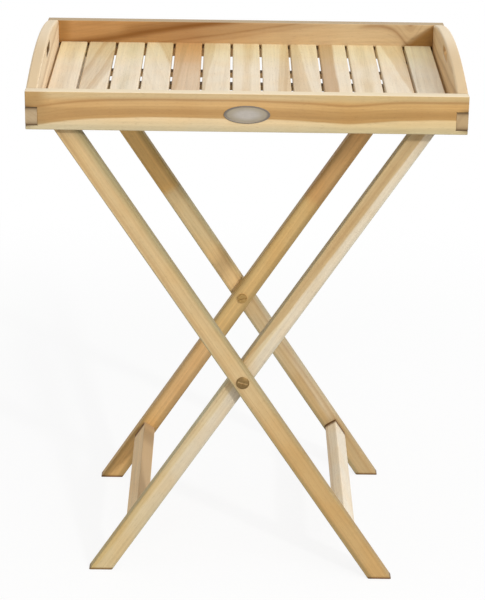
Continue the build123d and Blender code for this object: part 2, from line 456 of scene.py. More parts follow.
@dataclass(frozen=True)
class Teak(Finish):
    """Sanded teak: heartwood and sapwood laid out in the rings of a log that the board is cut from."""

    grain: Grain
    middle: Point
    heart: Colour = (200, 160, 105)
    sap: Colour = (220, 196, 152)
    line: Colour = (142, 98, 50)
    pore: Colour = (112, 78, 44)
    pore_range: Range = (0.62, 0.74)
    pore_depth: float = 0.30
    end: Colour = (170, 144, 106)
    end_facing: Range = (0.6, 0.9)
    end_depth: float = 0.8
    # Painted top light: a colour laid over faces that face up, a painted highlight on the tray's rim and
    # painted shade on the rear rail's top, the batten tops and the left bar.
    rim: Colour = (244, 230, 202)
    painted_top_facing: Range = (0.5, 0.85)
    painted_top_depth: float = 0.0
    painted_top_drifts: tuple[Drift, ...] = ()
    pith_across: float = 0.0
    pith_deep: float = 0.03
    lean: float = 0.0
    reach: float = 0.2
    blur: float = 0.002
    ring_gap: float = 0.0045
    ring_wave: float = 0.016
    ring_wander: float = 1.4
    ring_power: float = 3.0
    ring_end: Range = (0.88, 1.0)
    ring_least: float = 0.3
    ring_depth: float = 0.30
    band_gap: float = 0.010
    band_shift: float = 1.7
    band_layers: float = 2.0
    band_range: Range = (0.45, 0.75)
    band_depth: float = 0.5
    sap_ripple: float = 0.003
    sap_calm: float = 0.7
    sway: float = 0.008
    blush: float = 0.5
    blush_range: Range = (0.42, 0.66)
    blush_tint: Colour = (1.0, 0.92, 0.80)
    shade: float = 0.98
    grain_shade: float = 0.22
    fibre_shade: float = 0.16
    cloud_shade: float = 0.10
    roughness: float = 0.56
    fibre_rough: float = 0.16
    pore_rough: float = 0.12
    sap_rough: float = -0.04
    end_rough: float = 0.10
    gloss: float = 0.30
    relief: float = 0.30
    relief_depth: float = 0.0005
    fibre_height: float = 0.5
    grain_height: float = 0.3
    pore_height: float = -0.9
    late_height: float = -0.35
    # drifts: slow changes of the heart colour; a few are painted shadow, painted shade or painted bounce
    # light
    drifts: tuple[Drift, ...] = ()
    # tones: colours multiplied over parts of a board; most are painted shade on edges, joints and feet, and
    # one is a painted reflection on the deck
    tones: tuple[Drift, ...] = ()
    marks: tuple[Mark, ...] = ()
    bends: tuple[Bend, ...] = ()
    streaks: tuple[Streak, ...] = ()
    seed: float = 0.0

    def lie(self, bench: Bench) -> Lie:
        """Finds how a point of the board lies in its log.

        Args:
            bench: The bench that wires the finish.

        Returns:
            The lie, with the board's own cut.
        """
        along, deep, across = bench.own_place(self.middle, self.grain.turn())
        cut = (self.pith_across, self.pith_deep, self.lean, self.reach, self.seed)
        lie = Lie(along, across, deep, *cut, paint(self.heart))
        lie.heart = lie.lay(self.drifts, lie.heart)
        return lie

    def radius(self, lie: Lie) -> Wire:
        """Finds the distance from the pith, along which the rings lie.

        Args:
            lie: How the point lies in its log.

        Returns:
            The distance, with the swerves of the grain.
        """
        sway = lie.levels(Figure.SWAY)
        across = lie.across - lie.pith_across - lie.lean * lie.along + sway[0].swing(self.sway)
        for bend in self.bends:
            across = across + lie.along.hump(bend.at, bend.reach, bend.shift)
        return across.diagonal(lie.deep - lie.pith_deep + sway[1].swing(self.sway))

    def late_wood(self, radius: Wire, seed: Wire | float) -> Wire:
        """Finds the dark late wood at the end of each growth ring.

        Args:
            radius: The distance from the pith.
            seed: The number that sets one log apart from another.

        Returns:
            The share of late wood, stronger in some rings than in others.
        """
        bench = radius.bench
        phase = radius / self.ring_gap + self.ring_wander * (radius / self.ring_wave + seed).ripple()
        part = bench.maths("FRACT", phase)
        ring = bench.maths("FLOOR", phase) + seed
        chance = bench.number("ShaderNodeTexWhiteNoise", {"noise_dimensions": "1D"}, {"W": ring})
        strength = self.ring_least + (1 - self.ring_least) * chance
        return part**self.ring_power * (1 - part.rise(*self.ring_end)) * strength

    def end_share(self, bench: Bench) -> Wire:
        """Finds where a surface faces along the grain and shows end grain.

        Args:
            bench: The bench that wires the finish.

        Returns:
            The share of end grain.
        """
        sockets = {0: bench.place("Normal"), 1: self.grain.way()}
        facing = bench.node("ShaderNodeVectorMath", {"operation": "DOT_PRODUCT"}, sockets).outputs["Value"]
        return abs(Wire(bench, facing)).rise(*self.end_facing)

    def painted_top_share(self, bench: Bench) -> Wire:
        """Finds where a surface faces up, which takes the board's painted top light: a painted highlight on a
        pale rim, painted shade on a darker top.
        """
        up = bench.split(bench.place("Normal"))[2]
        return up.rise(*self.painted_top_facing) * self.painted_top_depth

    def sockets(self, bench: Bench) -> dict[str, object]:
        """Wires the wood's colour, roughness and relief.

        Args:
            bench: The bench that wires the finish.

        Returns:
            The values or links of the shader's sockets.
        """
        lie = self.lie(bench)
        fibre = lie.level(Figure.FIBRE)
        grain = lie.level(Figure.GRAIN)
        cloud = lie.levels(Figure.CLOUD)
        pores = lie.level(Figure.PORE).rise(*self.pore_range)
        end = self.end_share(bench)

        radius = self.radius(lie)
        late = self.late_wood(radius, lie.seed)
        bands = (radius / self.band_gap + lie.seed * self.band_shift).ripple(self.band_layers)
        edge = radius + fibre.swing(self.sap_ripple)
        sap = edge.rise(lie.reach - self.blur, lie.reach + self.blur)
        dark = late * self.ring_depth + bands.rise(*self.band_range) * self.band_depth
        for streak in self.streaks:
            dark = dark + streak.share(lie.along, radius)

        colour = bench.blend(sap, lie.heart, paint(self.sap))
        colour = bench.blend(dark * (1 - self.sap_calm * sap), colour, paint(self.line))
        blush = cloud[0].rise(*self.blush_range) * self.blush
        colour = bench.blend(blush, colour, (*self.blush_tint, 1.0), "MULTIPLY")
        shade = self.shade + grain.swing(self.grain_shade) + fibre.swing(self.fibre_shade)
        colour = bench.brighten(colour, shade + cloud[1].swing(self.cloud_shade))
        colour = lie.lay(self.tones, colour, "MULTIPLY")
        colour = bench.blend(pores * self.pore_depth, colour, paint(self.pore))
        colour = bench.blend(end * self.end_depth, colour, paint(self.end))
        # painted top light over the faces that face up: a painted highlight or painted shade, as each board
        # sets it
        if self.painted_top_depth:
            colour = bench.blend(self.painted_top_share(bench), colour, lie.lay(self.painted_top_drifts, paint(self.rim)))

        height = fibre * self.fibre_height + grain * self.grain_height
        height = height + pores * self.pore_height + late * self.late_height
        rough = self.roughness + fibre.swing(self.fibre_rough) + pores * self.pore_rough
        return {
            "Base Color": lie.lay(self.marks, colour),
            "Roughness": rough + sap * self.sap_rough + end * self.end_rough,
            "Normal": bench.relief(height, self.relief, self.relief_depth),
            "Specular IOR Level": self.gloss,
        }


@dataclass(frozen=True)
class SlatTeak(Teak):
    """Deck teak: one finish for all the slats, each with the cut that its own points carry."""

    deck_level: float = 0.717
    rear_range: Range = (0.0, 0.14)

    def lie(self, bench: Bench) -> Lie:
        """Finds how a point lies in its slat's log, from the slat's own cut.

        Args:
            bench: The bench that wires the finish.

        Returns:
            The lie of that slat.
        """
        right, back, up = bench.split(bench.place())
        names = ("slat_cut", "slat_heart", "slat_rear", "slat_place")
        notes = [bench.node("ShaderNodeAttribute", {"attribute_name": name}).outputs for name in names]
        cut, heart, rear, slat = notes
        pith, lean, reach = bench.split(cut["Vector"])
        middle, seed, _ = bench.split(slat["Vector"])
        wood = bench.blend(back.rise(*self.rear_range), heart["Color"], rear["Color"])
        return Lie(back, right - middle, up - self.deck_level, pith, self.pith_deep, lean, reach, seed, wood)


@dataclass(frozen=True)
class Bronze(Finish):
    """Antiqued bronze on the pivot bolts, nuts, washers and wood screws."""

    dark: Colour = (126, 100, 59)
    worn_and_glint: Colour = (168, 138, 96)
    wear: float = 0.25
    patch_scale: float = 420.0
    patch_layers: float = 4.0
    patch_range: Range = (0.40, 0.68)
    mark_scale: float = 1700.0
    metallic: float = 0.85
    roughness: float = 0.50
    patch_rough: float = -0.14
    mark_rough: float = 0.2
    mark_height: float = 0.4
    relief: float = 0.25
    relief_depth: float = 0.0002

    def sockets(self, bench: Bench) -> dict[str, object]:
        """Wires patches of wear and fine marks.

        Args:
            bench: The bench that wires the finish.

        Returns:
            The values or links of the shader's sockets.
        """
        place = bench.place()
        patch = bench.cloud(place, self.patch_scale, self.patch_layers).rise(*self.patch_range)
        fine = bench.cloud(place, self.mark_scale)
        return {
            "Base Color": bench.blend(patch * self.wear, paint(self.dark), paint(self.worn_and_glint)),
            "Metallic": self.metallic,
            "Roughness": self.roughness + patch * self.patch_rough + fine.swing(self.mark_rough),
            "Normal": bench.relief(patch + fine * self.mark_height, self.relief, self.relief_depth),
        }


@dataclass(frozen=True)
class PlateMetal(Finish):
    """Brushed plate metal with a darkened border, for the blank oval plate."""

    middle: Point
    half_length: float
    half_height: float
    field: Colour = (181, 173, 163)
    edge: Colour = (160, 148, 128)
    edge_range: Range = (0.25, 0.85)
    border: Colour = (112, 104, 96)
    border_range: Range = (0.80, 0.94)
    border_depth: float = 0.85
    border_ripple: float = 0.08
    brush_length: float = 0.020
    brush_width: float = 0.00035
    brush_layers: float = 3.0
    brush_shade: float = 0.25
    cloud_scale: float = 160.0
    cloud_shade: float = 0.2
    metallic: float = 0.55
    roughness: float = 0.42
    brush_rough: float = 0.2
    border_rough: float = 0.1
    relief: float = 0.2
    relief_depth: float = 0.0002

    def sockets(self, bench: Bench) -> dict[str, object]:
        """Wires the field, the border and the brushing.

        Args:
            bench: The bench that wires the finish.

        Returns:
            The values or links of the shader's sockets.
        """
        right, _, up = bench.own_place(self.middle)
        spread = (right / self.half_length).diagonal(up / self.half_height)
        strokes = bench.triple(right / self.brush_length, 0.0, up / self.brush_width)
        brushed = bench.cloud(strokes, 1.0, self.brush_layers)
        cloud = bench.cloud(bench.place(), self.cloud_scale)
        rim = (spread + cloud.swing(self.border_ripple)).rise(*self.border_range)
        colour = bench.blend(spread.rise(*self.edge_range), paint(self.field), paint(self.edge))
        colour = bench.blend(rim * self.border_depth, colour, paint(self.border))
        shade = 1 + brushed.swing(self.brush_shade) + cloud.swing(self.cloud_shade)
        return {
            "Base Color": bench.brighten(colour, shade),
            "Metallic": self.metallic,
            "Roughness": self.roughness + brushed.swing(self.brush_rough) + rim * self.border_rough,
            "Normal": bench.relief(brushed, self.relief, self.relief_depth),
        }


@dataclass(frozen=True)
class GlueLine(Finish):
    """The dark line of glue and dust in a finger joint."""

    colour: Colour = (78, 56, 30)
    roughness: float = 0.8

    def sockets(self, bench: Bench) -> dict[str, object]:
        """Gives the plain dark colour."""
        return {"Base Color": paint(self.colour), "Roughness": self.roughness}


def centre(node: str) -> Vector:
    """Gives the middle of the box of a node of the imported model."""
    return sum(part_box(node), Vector()) / 2


def place_piece(mesh: bpy.types.Mesh, name: str) -> Object:
    """Puts a mesh in the scene as a new object at the origin.

    Args:
        mesh: The mesh, with its place in it.
        name: The piece's name.

    Returns:
        The new object.
    """
    mesh.name = name
    piece = bpy.data.objects.new(name, mesh)
    bpy.context.scene.collection.objects.link(piece)
    return piece


def place_shape(shape: bmesh.types.BMesh, name: str) -> Object:
    """Puts a shape that has been worked on in the scene, and frees it.

    Args:
        shape: The shape, with its place in it.
        name: The piece's name.

    Returns:
        The new object.
    """
    mesh = bpy.data.meshes.new(name)
    shape.to_mesh(mesh)
    shape.free()
    return place_piece(mesh, name)


def place_points(name: str, spots: list[Vector], notes: dict[str, list]) -> Object:
    """Puts loose points in the scene, which carry values.

    Args:
        name: The piece's name.
        spots: The places of the points.
        notes: The values of the points by the name that they carry; four numbers are a colour.

    Returns:
        The new object.
    """
    mesh = bpy.data.meshes.new(name)
    mesh.from_pydata([tuple(spot) for spot in spots], [], [])
    for label, values in notes.items():
        kind, field = ("FLOAT_COLOR", "color") if len(values[0]) == 4 else ("FLOAT_VECTOR", "vector")
        attribute = mesh.attributes.new(label, kind, "POINT")
        for point, value in zip(attribute.data, values):
            setattr(point, field, value)
    return place_piece(mesh, name)


def place_rings(name: str, rings: list[list[Vector]], tip: Vector | None = None) -> Object:
    """Puts a closed skin over rings of places in the scene.

    Args:
        name: The piece's name.
        rings: The rings from one end to the other, all with the same number of places.
        tip: The point that closes the last ring, or None for a flat end.

    Returns:
        The new object.
    """
    shape = bmesh.new()
    loops = [[shape.verts.new(spot) for spot in ring] for ring in rings]
    count = len(loops[0])
    pairs = [(step, (step + 1) % count) for step in range(count)]
    for first, second in zip(loops, loops[1:]):
        for step, after in pairs:
            shape.faces.new((first[step], first[after], second[after], second[step]))
    if tip is None:
        shape.faces.new(loops[-1])
    else:
        top = shape.verts.new(tip)
        for step, after in pairs:
            shape.faces.new((loops[-1][step], loops[-1][after], top))
    shape.faces.new(loops[0])
    bmesh.ops.recalc_face_normals(shape, faces=shape.faces)
    return place_shape(shape, name)


def oval(middle: Vector, half_length: float, half_height: float, segments: int) -> list[Vector]:
    """Lists places round an upright oval that faces the front."""
    angles = [2 * pi * step / segments for step in range(segments)]
    return [middle + Vector((half_length * cos(angle), 0.0, half_height * sin(angle))) for angle in angles]


def settle(piece: Object) -> None:
    """Turns what a piece's modifiers make into its own plain mesh.

    Args:
        piece: The piece.
    """
    graph = bpy.context.evaluated_depsgraph_get()
    made = piece.evaluated_get(graph)
    mesh = bpy.data.meshes.new_from_object(made, preserve_all_data_layers=True, depsgraph=graph)
    piece.modifiers.clear()
    mesh.name = piece.name
    piece.data = mesh


def smooth(piece: Object, limit: float = 40.0) -> None:
    """Shades a piece smooth except over its sharp edges, with its large faces kept flat.

    Args:
        piece: The piece.
        limit: The angle from which an edge is sharp, in degrees.
    """
    piece.data.polygons.foreach_set("use_smooth", [True] * len(piece.data.polygons))
    piece.data.set_sharp_from_angle(angle=radians(limit))
    even = piece.modifiers.new("even_faces", "WEIGHTED_NORMAL")
    even.keep_sharp = True
    settle(piece)


def soften(node: Object, name: str, edge: float, marked: Callable[[Vector], bool] | None = None) -> Object:
    """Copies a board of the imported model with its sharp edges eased.

    Args:
        node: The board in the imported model.
        name: The new piece's name.
        edge: The width of the easing.
        marked: Tells by its middle whether an eased face takes the piece's second finish.

    Returns:
        The new piece.
    """
    board = bmesh.new()
    board.from_mesh(node.data)
    bmesh.ops.remove_doubles(board, verts=board.verts, dist=MERGE_DISTANCE)
    bmesh.ops.dissolve_limit(board, angle_limit=radians(FLAT_ANGLE), verts=board.verts, edges=board.edges)
    closed = [line for line in board.edges if len(line.link_faces) == 2]
    sharp = [line for line in closed if line.calc_face_angle() > radians(SHARP_ANGLE)]
    eased = bmesh.ops.bevel(
        board, geom=sharp, offset=edge, segments=EASING_STEPS, profile=0.5, affect="EDGES", clamp_overlap=True
    )
    for face in eased["faces"]:
        if marked and marked(face.calc_center_median()):
            face.material_index = 1
    piece = place_shape(board, name)
    smooth(piece)
    return piece


def finish_piece(piece: Object, body: str, materials: list[Material], nodes: list[str]) -> None:
    """Dresses a piece, lets it ride on its body and stand for its nodes.

    Args:
        piece: The piece.
        body: The body that carries it.
        materials: The finishes, in the order of the piece's material slots.
        nodes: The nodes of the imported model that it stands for.
    """
    indices = [face.material_index for face in piece.data.polygons]
    piece.data.materials.clear()
    for material in materials:
        piece.data.materials.append(material)
    piece.data.polygons.foreach_set("material_index", indices)
    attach(piece, body)
    if nodes:
        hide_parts(*nodes)
    LOG.info("%s rides on %s, %d faces", piece.name, body, len(piece.data.polygons))


class Sprout:
    """A Geometry Nodes tree that puts one shape on every point of a carrier."""

    def __init__(self, name: str, sizes: dict[str, float], seed: int, material: Material) -> None:
        """Starts the tree.

        Args:
            name: The tree's name.
            sizes: Its named inputs and their values.
            seed: The seed of its random places.
            material: The finish that it sets.
        """
        tree = bpy.data.node_groups.new(name, "GeometryNodeTree")
        self.bench = Bench(tree)
        self.material = material
        self.values: dict[str, float] = {}
        tree.interface.new_socket("Geometry", in_out="INPUT", socket_type="NodeSocketGeometry")
        tree.interface.new_socket("Geometry", in_out="OUTPUT", socket_type="NodeSocketGeometry")
        for label, size in sizes.items():
            socket = tree.interface.new_socket(label, in_out="INPUT", socket_type="NodeSocketFloat")
            self.values[socket.identifier] = size
        socket = tree.interface.new_socket("Seed", in_out="INPUT", socket_type="NodeSocketInt")
        self.values[socket.identifier] = seed
        self.inputs = self.bench.node("NodeGroupInput").outputs

    def size(self, label: str) -> Wire:
        """Gives a named input as a wire."""
        return Wire(self.bench, self.inputs[label])

    def block(self, size: Socket, turn: float = 0.0, lift: Wire | float = 0.0) -> Socket:
        """Makes a block.

        Args:
            size: Its size.
            turn: Its turn about the upright axis, in degrees.
            lift: How high its middle is.

        Returns:
            The block's geometry.
        """
        sockets = {
            "Geometry": self.bench.out("GeometryNodeMeshCube", {}, {"Size": size}),
            "Translation": self.bench.triple(0.0, 0.0, lift),
            "Rotation": (0.0, 0.0, radians(turn)),
        }
        return self.bench.out("GeometryNodeTransform", {}, sockets)

    def carve(self, operation: str, first: Socket | None, others: list[Socket]) -> Socket:
        """Joins or cuts solids.

        Args:
            operation: UNION or DIFFERENCE.
            first: The solid that is cut, or None for a union.
            others: The solids that join or cut.

        Returns:
            The resulting geometry.
        """
        node = self.bench.node("GeometryNodeMeshBoolean", {"operation": operation, "solver": "EXACT"})
        if first is not None:
            self.bench.tree.links.new(first, node.inputs["Mesh 1"])
        for other in others:
            self.bench.tree.links.new(other, node.inputs["Mesh 2"])
        return node.outputs["Mesh"]

    def grow(self, points: Socket, shape: Socket, rotation: object, carrier: Object) -> None:
        """Ends the tree with the shape on every point, and turns the carrier into a plain mesh.

        Args:
            points: The points.
            shape: The shape.
            rotation: The turn of each shape.
            carrier: The object whose mesh holds the points.
        """
        sockets = {"Points": points, "Instance": shape, "Rotation": rotation}
        rows = self.bench.out("GeometryNodeInstanceOnPoints", {}, sockets)
        real = self.bench.out("GeometryNodeRealizeInstances", {}, {"Geometry": rows})
        sockets = {"Geometry": real, "Material": self.material}
        dressed = self.bench.out("GeometryNodeSetMaterial", {}, sockets)
        self.bench.node("NodeGroupOutput", {}, {"Geometry": dressed})
        growth = carrier.modifiers.new("growth", "NODES")
        growth.node_group = self.bench.tree
        for identifier, value in self.values.items():
            growth[identifier] = value
        settle(carrier)


@dataclass
class TrayFrame:
    """The four finger-jointed tray boards and the two ledgers at the foot of the end panels."""

    nodes: dict[str, Object]
    edge: float = 0.0010
    ledger_edge: float = 0.0005
    length: float = 0.600
    depth: float = 0.400
    board: float = 0.016
    rim_level: float = 0.750
    finger_lines: tuple[float, ...] = (0.023, 0.047)
    body: str = "tray"
    slot: str = "tray_teak"

    def rails(self) -> dict[str, Teak]:
        """Gives the long boards the teak that they are sawn from.

        Returns:
            The finishes by node name.
        """
        corner = self.length / 2 - self.board
        front = Teak(
            grain=Grain.ALONG_RAIL,
            middle=(0.0, -0.200, 0.723),
            heart=(191, 151, 96),
            sap=(226, 199, 154),
            line=(152, 106, 54),
            # painted highlight on the top face, in the default rim colour
            painted_top_depth=0.7,
            pith_across=0.060,
            pith_deep=0.018,
            reach=0.0688,
            blur=0.0016,
            ring_depth=0.18,
            band_depth=0.16,
            sway=0.004,
            blush=0.25,
            drifts=(
                Drift(0.002, 0.010, (211, 170, 113), 90.0),
                Drift(0.013, 0.022, (205, 178, 132), 90.0),
                Drift(0.262, 0.286, (182, 146, 94), 180.0),
            ),
            # The first tone is painted shade, a cool grey along the lower edge.
            tones=(Drift(0.010, 0.026, (229, 240, 249), -90.0), Drift(0.0, 0.18, (247, 245, 234))),
            marks=self.seams(0.723, corner),
            bends=(Bend(-0.300, 0.056, 0.0135), Bend(0.135, 0.050, 0.0070)),
            streaks=(Streak(0.0612, 0.0034, 0.28), Streak(0.0450, 0.0015, 0.46)),
            seed=3.1,
        )
        rear = Teak(
            grain=Grain.ALONG_RAIL,
            middle=(0.0, 0.184, 0.733),
            heart=(184, 138, 85),
            sap=(226, 199, 154),
            line=(128, 81, 29),
            # painted shade on the top face, darker than the lamps light it
            rim=(182, 161, 129),
            painted_top_depth=0.9,
            pith_across=-0.050,
            pith_deep=0.020,
            lean=0.16,
            blur=0.020,
            ring_depth=0.15,
            band_depth=0.15,
            blush=0.25,
            drifts=(
                Drift(-0.20, 0.20, (201, 174, 133)),
                # A darker wedge in the right corner, partly heartwood and partly painted shadow of the right
                # end panel; the next drift is painted shade in the left inner corner.
                Drift(0.160, 0.171, (168, 126, 70), -51.0),
                Drift(0.260, 0.278, (160, 116, 62), 180.0),
            ),
            marks=self.seams(0.733, corner),
            bends=(Bend(0.250, 0.020, 0.044),),
            streaks=(
                Streak(0.0755, 0.0044, 0.9),
                Streak(0.0860, 0.0045, 0.40, (-0.20, 0.0)),
                Streak(0.0588, 0.0026, 0.40, (-0.30, 0.12)),
                Streak(0.0429, 0.0024, 0.55, (0.16, 0.27)),
            ),
            seed=11.4,
        )
        return {"front_rail": front, "rear_rail": rear}

    def ends(self) -> dict[str, Teak]:
        """Gives the end panels and their ledgers the teak that they are sawn from.

        Returns:
            The finishes by node name.
        """
        seams = self.seams(0.733, self.depth / 2 - self.board)
        left = Teak(
            grain=Grain.ALONG_SLAT,
            middle=(-0.284, 0.0, 0.733),
            heart=(247, 227, 196),
            sap=(244, 225, 193),
            line=(152, 106, 54),
            # painted highlight on the top edge, darker along part of the board
            rim=(230, 209, 176),
            painted_top_depth=0.9,
            painted_top_drifts=(Drift(-0.06, 0.08, (209, 183, 144), 180.0),),
            pith_across=-0.040,
            lean=0.05,
            reach=0.055,
            blur=0.012,
            sway=0.010,
            blush=0.25,
            marks=(HandHole(), *seams),
            seed=21.7,
        )
        right = replace(
            left,
            middle=(0.284, 0.0, 0.733),
            heart=(230, 196, 146),
            sap=(234, 208, 167),
            # painted highlight on the top edge
            rim=(236, 216, 184),
            pith_deep=-0.030,
            lean=-0.06,
            # painted shade inside the right hand-hole, lighter than the left one's
            marks=(HandHole(colour=(205, 169, 118)), *seams),
            seed=27.3,
        )
        ledger = replace(left, heart=(200, 160, 108), painted_top_depth=0.0, marks=())
        return {
            "left_end_panel": left,
            "right_end_panel": right,
            "left_ledger": replace(ledger, middle=(-0.280, 0.0, 0.700), seed=31.9),
            "right_ledger": replace(ledger, middle=(0.280, 0.0, 0.700), seed=35.2),
        }

    def seams(self, middle: float, corner: float) -> tuple[Seam, ...]:
        """Places the seams of a board by the level of its grain's middle and by where its corners start."""
        return tuple(Seam(self.rim_level - line - middle, corner, self.board) for line in self.finger_lines)

    def at_joint(self, spot: Vector) -> bool:
        """Tells whether a place on a board's edge lies on a level line of the corner finger joints.

        Args:
            spot: The place.

        Returns:
            True at a corner, on the upper or the lower side of a finger.
        """
        margin = 1.5 * self.edge
        corner_x = abs(spot.x) > self.length / 2 - self.board - margin
        corner_y = abs(spot.y) > self.depth / 2 - self.board - margin
        below = self.rim_level - spot.z
        return corner_x and corner_y and any(abs(below - line) < margin for line in self.finger_lines)

    def build(self) -> None:
        """Eases every board's edges and dresses it."""
        glue = GlueLine().material("joint_glue")
        for node, teak in (self.rails() | self.ends()).items():
            edge = self.ledger_edge if node.endswith("ledger") else self.edge
            board = soften(self.nodes[node], f"{node}_board", edge, self.at_joint)
            finish_piece(board, self.body, [teak.material(f"{node}_teak"), glue], [node])


@dataclass(frozen=True)
class SlatCut:
    """How one slat is sawn: the pith's offset, its lean, how far the heartwood reaches, and its colours."""

    pith: float
    lean: float
    reach: float
    heart: Colour
    rear: Colour | None = None


@dataclass(frozen=True)
class BattenCut:
    """How one batten is sawn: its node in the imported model, its colour and the seed of its log."""

    node: str
    heart: Colour
    seed: float


@dataclass
class Deck:
    """The slatted deck: slats tongued into the rails, three battens under them, and the screws."""

    nodes: dict[str, Object]
    slat_width: float = 0.040
    slat_thickness: float = 0.010
    slat_length: float = 0.368
    slat_edge: float = 0.002
    edge_steps: int = 4
    tongue_length: float = 0.006
    tongue_thickness: float = 0.006
    tongue_inset: float = 0.0004
    looseness: float = 0.0004
    upright_share: float = 0.4
    first_seed: float = 1.0
    seed_step: float = 5.3
    batten_edge: float = 0.0005
    batten_reach: float = 0.222
    screw_radius: float = 0.0036
    screw_top_share: float = 0.72
    screw_height: float = 0.0007
    screw_sides: int = 20
    screw_turn: float = 20.0
    recess_width: float = 0.0010
    recess_length: float = 0.0042
    recess_share: float = 1.6
    ledger_screws: tuple[float, ...] = (-0.14, 0.0, 0.14)
    # painted shade for the battens' tops, which lie in the gaps under the slats
    shade: Colour = (92, 70, 40)
    seed: int = 7
    body: str = "tray"
    slot: str = "slat_teak"
    # The front and middle battens are painted darker as painted shade, for they show only in the dark gaps
    # under the slats.
    battens: tuple[BattenCut, ...] = (
        BattenCut("front_batten", (146, 121, 80), 41.0),
        BattenCut("middle_batten", (146, 121, 80), 44.7),
        BattenCut("rear_batten", (202, 166, 116), 48.4),
    )
    cuts: tuple[SlatCut, ...] = (
        SlatCut(0.000, 0.01, 0.0210, (224, 208, 182)),
        SlatCut(-0.040, 0.13, 0.0569, (220, 201, 172)),
        SlatCut(0.002, 0.02, 0.0205, (223, 211, 184)),
        SlatCut(0.060, -0.15, 0.0382, (220, 197, 161)),
        SlatCut(0.030, 0.05, 0.2000, (217, 191, 160), (208, 164, 118)),
        SlatCut(-0.050, 0.06, 0.0429, (219, 199, 167)),
        SlatCut(0.000, 0.02, 0.0212, (220, 195, 156)),
        SlatCut(0.045, 0.03, 0.0456, (221, 198, 163)),
        SlatCut(-0.045, -0.05, 0.0511, (218, 196, 163)),
        SlatCut(-0.040, 0.00, 0.0447, (198, 168, 132)),
        SlatCut(0.000, -0.01, 0.0208, (223, 205, 173)),
        SlatCut(0.050, -0.114, 0.0461, (223, 202, 170)),
        SlatCut(0.000, 0.02, 0.0500, (242, 231, 208)),
    )

    def slat_names(self) -> list[str]:
        """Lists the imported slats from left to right."""
        return [f"slat_{number:02d}" for number in range(1, len(self.cuts) + 1)]

    def slat_points(self) -> Object:
        """Makes one point for each slat, which carries that slat's cut.

        Returns:
            The points.
        """
        middles = [centre(name) for name in self.slat_names()]
        seeds = [self.seed_step * number + self.first_seed for number in range(len(self.cuts))]
        notes = {
            "slat_cut": [(cut.pith, cut.lean, cut.reach) for cut in self.cuts],
            "slat_heart": [paint(cut.heart) for cut in self.cuts],
            "slat_rear": [paint(cut.rear or cut.heart) for cut in self.cuts],
            "slat_place": [(middle.x, seed, 0.0) for middle, seed in zip(middles, seeds)],
        }
        return place_points("deck_slats", middles, notes)

    def slat_shape(self, sprout: Sprout) -> Socket:
        """Makes a slat with rounded long edges and a tongue at both ends.

        Args:
            sprout: The tree of the slats.

        Returns:
            The slat's geometry.
        """
        bench = sprout.bench
        width = sprout.size("Slat Width")
        length = sprout.size("Slat Length")
        sockets = {"Width": width, "Height": sprout.size("Slat Thickness")}
        outline = bench.out("GeometryNodeCurvePrimitiveQuadrilateral", {"mode": "RECTANGLE"}, sockets)
        sockets = {"Curve": outline, "Count": self.edge_steps, "Radius": sprout.size("Edge Radius")}
        rounded = bench.out("GeometryNodeFilletCurve", {"mode": "POLY"}, sockets)
        start, end = (bench.triple(0.0, length * share, 0.0) for share in (-0.5, 0.5))
        run = bench.out("GeometryNodeCurvePrimitiveLine", {}, {"Start": start, "End": end})
        upright = bench.out("GeometryNodeSetCurveNormal", {"mode": "Z_UP"}, {"Curve": run})
        sockets = {"Curve": upright, "Profile Curve": rounded, "Fill Caps": True}
        plank = bench.out("GeometryNodeCurveToMesh", {}, sockets)
        tongues = length + sprout.size("Tongue Length") * 2
        size = bench.triple(width - self.tongue_inset, tongues, sprout.size("Tongue Thickness"))
        return sprout.carve("UNION", None, [plank, sprout.block(size)])

    def build_slats(self) -> None:
        """Grows the slats on their points and dresses them."""
        teak = SlatTeak(
            grain=Grain.ALONG_SLAT,
            middle=(0.0, 0.0, 0.0),
            sap=(236, 221, 196),
            line=(186, 150, 104),
            pith_deep=-0.020,
            band_depth=0.35,
            sway=0.007,
            blush=0.35,
            # painted warm reflection from the rear rail, growing towards the rear of the deck
            tones=(Drift(0.02, 0.16, (255, 253, 230)),),
        )
        material = teak.material("slat_teak")
        sizes = {
            "Slat Width": self.slat_width,
            "Slat Thickness": self.slat_thickness,
            "Slat Length": self.slat_length,
            "Edge Radius": self.slat_edge,
            "Tongue Length": self.tongue_length,
            "Tongue Thickness": self.tongue_thickness,
            "Looseness": self.looseness,
        }
        sprout = Sprout("slat_rows", sizes, self.seed, material)
        bench = sprout.bench
        play = sprout.size("Looseness")
        sockets = {
            0: bench.triple(play * -1, 0.0, play * -self.upright_share),
            1: bench.triple(play, 0.0, play * self.upright_share),
            "Seed": sprout.inputs["Seed"],
        }
        shift = bench.out("FunctionNodeRandomValue", {"data_type": "FLOAT_VECTOR"}, sockets)
        sockets = {"Geometry": sprout.inputs["Geometry"], "Offset": shift}
        points = bench.out("GeometryNodeSetPosition", {}, sockets)
        carrier = self.slat_points()
        sprout.grow(points, self.slat_shape(sprout), (0.0, 0.0, 0.0), carrier)
        smooth(carrier)
        finish_piece(carrier, self.body, [material], self.slat_names())

    def build_battens(self) -> None:
        """Eases the three battens and dresses them."""
        for cut in self.battens:
            teak = Teak(
                grain=Grain.ALONG_RAIL,
                middle=tuple(centre(cut.node)),
                heart=cut.heart,
                # painted shade on the up-facing tops
                rim=self.shade,
                painted_top_depth=0.9,
                seed=cut.seed,
            )
            batten = soften(self.nodes[cut.node], f"{cut.node}_strip", self.batten_edge)
            finish_piece(batten, self.body, [teak.material(f"{cut.node}_teak")], [cut.node])

